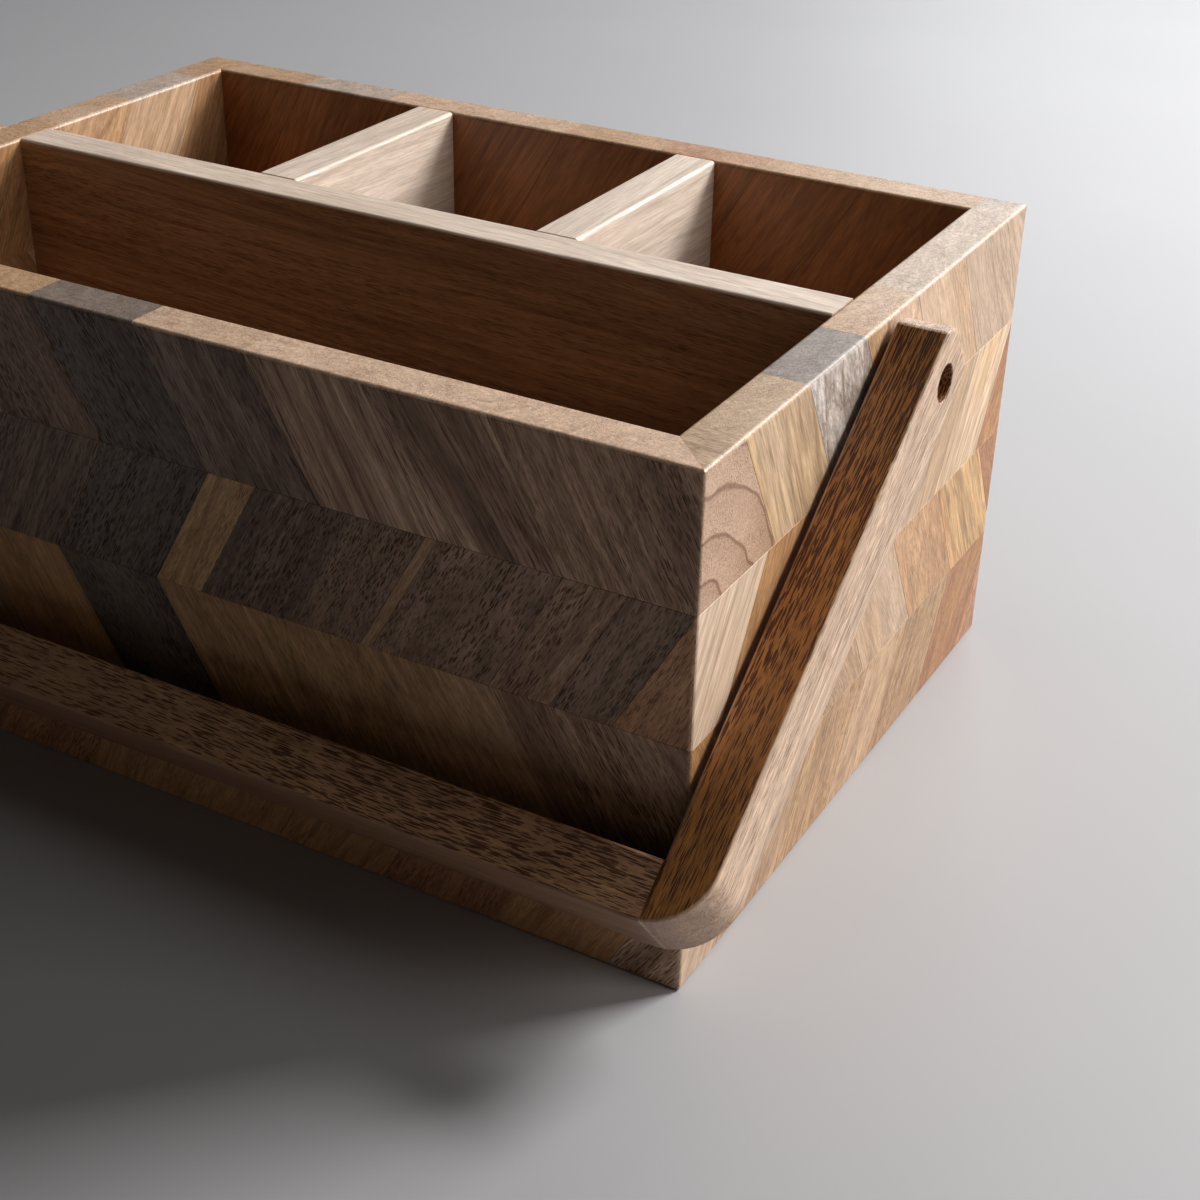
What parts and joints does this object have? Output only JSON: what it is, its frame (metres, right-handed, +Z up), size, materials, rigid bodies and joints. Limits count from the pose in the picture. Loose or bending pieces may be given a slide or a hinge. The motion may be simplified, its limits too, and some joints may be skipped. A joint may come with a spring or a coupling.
{
  "type": "wooden caddy",
  "caption": "Open rectangular wooden caddy of chevron-jointed courses with mitred corners, a long divider, cross dividers and a swinging U-shaped wooden bail handle for carrying.",
  "frame": {"origin": "centre of the box's underside, where the caddy stands", "axes": "+X along the length to the right, -Y towards the front where the handle rests, +Z up"},
  "size_m": [0.3314, 0.2352, 0.143],
  "materials": {
    "wall_wood": "satin oiled mixed-tone hardwood strips",
    "divider_wood": "satin oiled hardwood",
    "handle_wood": "satin oiled open-pored hardwood",
    "base_wood": "satin oiled panel",
    "joinery_wood": "bare hardwood",
    "steel": "zinc plated",
    "brass": "plain turned"
  },
  "bodies": {
    "caddy": {"front_wall_course_1": "wall_wood", "front_wall_course_2": "wall_wood", "front_wall_course_3": "wall_wood", "front_wall_course_4": "wall_wood", "back_wall_course_1": "wall_wood", "back_wall_course_2": "wall_wood", "back_wall_course_3": "wall_wood", "back_wall_course_4": "wall_wood", "left_wall_course_1": "wall_wood", "left_wall_course_2": "wall_wood", "left_wall_course_3": "wall_wood", "left_wall_course_4": "wall_wood", "right_wall_course_1": "wall_wood", "right_wall_course_2": "wall_wood", "right_wall_course_3": "wall_wood", "right_wall_course_4": "wall_wood", "mitre_spline_front_left": "joinery_wood", "mitre_spline_front_right": "joinery_wood", "mitre_spline_back_left": "joinery_wood", "mitre_spline_back_right": "joinery_wood", "base_panel": "base_wood", "base_screw_1": "steel", "base_screw_2": "steel", "base_screw_3": "steel", "base_screw_4": "steel", "base_screw_5": "steel", "base_screw_6": "steel", "base_screw_7": "steel", "base_screw_8": "steel", "long_divider": "divider_wood", "long_divider_dowel_left_1": "joinery_wood", "long_divider_dowel_left_2": "joinery_wood", "long_divider_dowel_right_1": "joinery_wood", "long_divider_dowel_right_2": "joinery_wood", "cross_divider_left": "divider_wood", "cross_divider_left_dowel_rear_1": "joinery_wood", "cross_divider_left_dowel_rear_2": "joinery_wood", "cross_divider_left_dowel_front_1": "joinery_wood", "cross_divider_left_dowel_front_2": "joinery_wood", "cross_divider_right": "divider_wood", "cross_divider_right_dowel_rear_1": "joinery_wood", "cross_divider_right_dowel_rear_2": "joinery_wood", "cross_divider_right_dowel_front_1": "joinery_wood", "cross_divider_right_dowel_front_2": "joinery_wood", "pivot_screw_left": "steel", "pivot_screw_right": "steel", "head_washer_left": "steel", "head_washer_right": "steel", "spacer_washer_left": "steel", "spacer_washer_right": "steel", "threaded_insert_left": "brass", "threaded_insert_right": "brass"},
    "handle": {"handle_crossbar": "handle_wood", "handle_arm_left": "handle_wood", "handle_arm_right": "handle_wood", "handle_dowel_left_1": "joinery_wood", "handle_dowel_left_2": "joinery_wood", "handle_dowel_right_1": "joinery_wood", "handle_dowel_right_2": "joinery_wood"}
  },
  "joints": [
    {"name": "handle_swing", "type": "hinge", "parent": "caddy", "child": "handle", "pos_m": [0, 0, 0.1283], "axis": [-1, 0, 0], "range_deg": [0, 255.4]}
  ]
}
